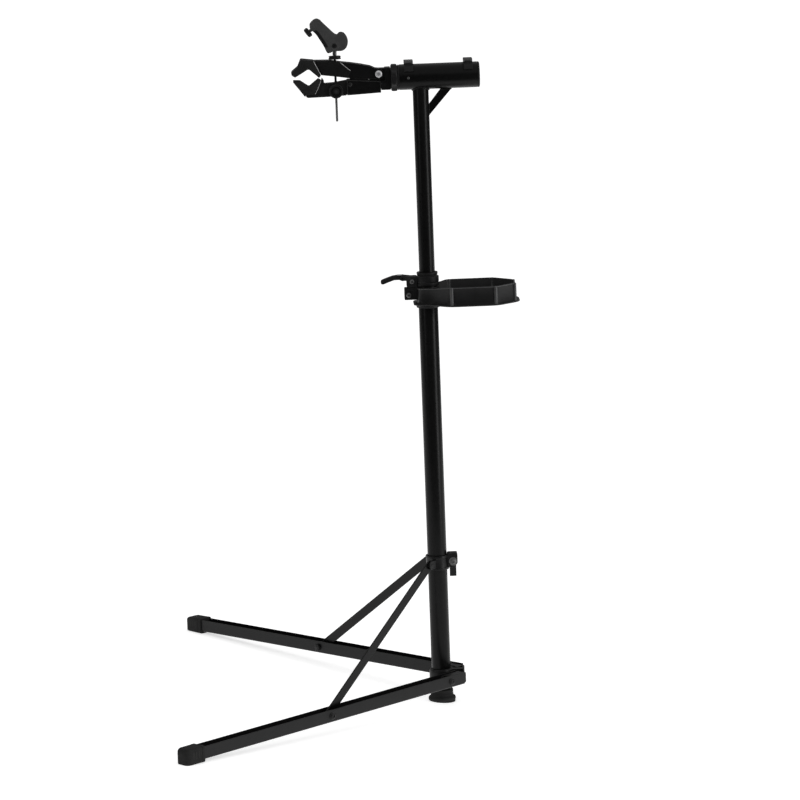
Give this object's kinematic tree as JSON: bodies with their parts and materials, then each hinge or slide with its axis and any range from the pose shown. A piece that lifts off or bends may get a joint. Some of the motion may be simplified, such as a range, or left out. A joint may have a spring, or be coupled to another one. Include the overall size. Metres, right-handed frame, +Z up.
{
  "type": "bike repair stand",
  "caption": "Folding bike repair stand: V-shaped legs, telescoping mast, swivelling tool tray and a rotating clamp head with a cam-lever screw.",
  "frame": {"origin": "middle of the mast foot's underside, on the floor", "axes": "+Z up from the floor; the legs and the clamp head point to -X, the tool tray to +X, and Y is the spread of the legs"},
  "size_m": [0.6381, 1.2044, 1.3415],
  "materials": {
    "powder_black": "satin black powder coat",
    "plastic_black": "moulded matte black",
    "rubber_black": "matte black rubber",
    "zinc_steel": "bright zinc plate",
    "black_steel": "black oxide"
  },
  "bodies": {
    "base": {"lower_mast_tube": "powder_black", "mast_foot": "rubber_black", "mast_bushing": "plastic_black", "base_bracket": "powder_black", "leg_pivot_bolt_near": "black_steel", "leg_pivot_bolt_far": "black_steel", "leg_pivot_nut_near": "black_steel", "leg_pivot_nut_far": "black_steel", "height_clamp_body": "plastic_black", "clamp_bolt": "zinc_steel", "height_lever_pin": "zinc_steel"},
    "height_lever": {"height_lever": "plastic_black"},
    "tray": {"tool_tray": "plastic_black", "tray_clamp_block": "plastic_black", "tray_clamp_bolt": "zinc_steel"},
    "collar": {"brace_collar": "powder_black", "collar_bolt": "zinc_steel"},
    "collar_lever": {"collar_lever": "plastic_black"},
    "leg_near": {"leg_near": "powder_black", "leg_cap_near": "rubber_black", "brace_bolt_near": "black_steel", "brace_nut_near": "black_steel"},
    "leg_far": {"leg_far": "powder_black", "leg_cap_far": "rubber_black", "brace_bolt_far": "black_steel", "brace_nut_far": "black_steel"},
    "brace_near": {"brace_near": "powder_black", "brace_pin_near": "black_steel"},
    "brace_far": {"brace_far": "powder_black", "brace_pin_far": "black_steel"},
    "upper_mast": {"upper_mast_tube": "powder_black", "arm_tube": "powder_black", "arm_end_cap": "plastic_black", "arm_gusset": "powder_black", "front_bushing": "plastic_black", "rear_bushing": "plastic_black", "bushing_screw": "zinc_steel", "rod_clip_front": "plastic_black", "rod_clip_rear": "plastic_black"},
    "lock_ring": {"lock_ring": "plastic_black"},
    "head": {"head_shaft": "black_steel", "head_block": "powder_black", "jaw_pivot_screw": "zinc_steel", "jaw_pivot_nut": "black_steel", "lower_jaw_channel": "powder_black", "lower_jaw_arm": "black_steel", "lower_jaw_pad": "rubber_black", "lower_jaw_rivet": "zinc_steel"},
    "upper_jaw": {"upper_jaw_arm": "powder_black", "upper_jaw_pad": "rubber_black"},
    "swivel_nut": {"swivel_nut": "black_steel"},
    "rod_carriage": {"cam_seat": "black_steel"},
    "handle": {"clamp_rod": "zinc_steel"},
    "cam_lever": {"cam_lever": "plastic_black", "cam_pin": "zinc_steel"},
    "crank_knob": {"crank_knob": "plastic_black"}
  },
  "joints": [
    {"name": "height_lever_throw", "type": "hinge", "parent": "base", "child": "height_lever", "pos_m": [-0.10947, 0, 0.84177], "axis": [0, 1, 0], "range_deg": [0, 95]},
    {"name": "tray_swivel", "type": "hinge", "parent": "base", "child": "tray", "pos_m": [-0.05888, 0, 0.80786], "axis": [-0.0727, 0, 0.9974], "continuous": true},
    {"name": "collar_slide", "type": "slide", "parent": "base", "child": "collar", "axis": [-0.0727, 0, 0.9974], "range_m": [0, 0.4754]},
    {"name": "collar_lever_throw", "type": "hinge", "parent": "collar", "child": "collar_lever", "pos_m": [0.01046, 0.018, 0.28301], "axis": [0.9974, 0, 0.0727], "range_deg": [0, 120]},
    {"name": "leg_fold_near", "type": "hinge", "parent": "base", "child": "leg_near", "pos_m": [0.00499, -0.0578, 0.0526], "axis": [-0.7199, 0.6921, -0.0525], "range_deg": [0, 65.1]},
    {"name": "brace_turn_near", "type": "hinge", "parent": "leg_near", "child": "brace_near", "pos_m": [-0.23379, -0.30746, 0.0352], "axis": [0.7199, -0.6921, 0.0525], "range_deg": [0, 101.04]},
    {"name": "leg_fold_far", "type": "hinge", "parent": "base", "child": "leg_far", "pos_m": [0.00499, 0.0578, 0.0526], "axis": [0.7199, 0.6921, 0.0525], "range_deg": [0, 65.1]},
    {"name": "brace_turn_far", "type": "hinge", "parent": "leg_far", "child": "brace_far", "pos_m": [-0.23379, 0.30746, 0.0352], "axis": [-0.7199, -0.6921, -0.0525], "range_deg": [0, 101.04]},
    {"name": "mast_height", "type": "slide", "parent": "base", "child": "upper_mast", "axis": [-0.0727, 0, 0.9974], "range_m": [-0.29, 0.2]},
    {"name": "lock_ring_turn", "type": "hinge", "parent": "upper_mast", "child": "lock_ring", "pos_m": [-0.13996, 0, 1.23259], "axis": [0.9974, 0, 0.0727], "range_deg": [0, 180]},
    {"name": "head_spin", "type": "hinge", "parent": "upper_mast", "child": "head", "pos_m": [-0.13996, 0, 1.23259], "axis": [0.9974, 0, 0.0727], "continuous": true},
    {"name": "jaw_open", "type": "hinge", "parent": "head", "child": "upper_jaw", "pos_m": [-0.17105, 0, 1.23955], "axis": [0, 1, 0], "range_deg": [0, 20]},
    {"name": "nut_swivel", "type": "hinge", "parent": "head", "child": "swivel_nut", "pos_m": [-0.252, 0, 1.20286], "axis": [0, 1, 0], "range_deg": [0, 10]},
    {"name": "rod_travel", "type": "slide", "parent": "swivel_nut", "child": "rod_carriage", "axis": [-0.0727, 0, 0.9974], "range_m": [0, 0.03]},
    {"name": "handle_spin", "type": "hinge", "parent": "rod_carriage", "child": "handle", "pos_m": [-0.25574, 0, 1.25423], "axis": [-0.0727, 0, 0.9974], "continuous": true},
    {"name": "cam_throw", "type": "hinge", "parent": "handle", "child": "cam_lever", "pos_m": [-0.25839, 0, 1.29063], "axis": [0, 1, 0], "range_deg": [0, 42]},
    {"name": "knob_spin", "type": "hinge", "parent": "cam_lever", "child": "crank_knob", "pos_m": [-0.30662, 0, 1.3167], "axis": [0.7543, 0, 0.6566], "continuous": true}
  ],
  "couplings": [
    {"joint": "leg_fold_near", "follows": "collar_slide", "rad_per_m": 2.3863},
    {"joint": "brace_turn_near", "follows": "collar_slide", "rad_per_m": 3.7058},
    {"joint": "leg_fold_far", "follows": "collar_slide", "rad_per_m": 2.3863},
    {"joint": "brace_turn_far", "follows": "collar_slide", "rad_per_m": 3.7058},
    {"joint": "nut_swivel", "follows": "jaw_open", "ratio": 0.49},
    {"joint": "rod_travel", "follows": "jaw_open", "m_per_rad": 0.0845}
  ]
}
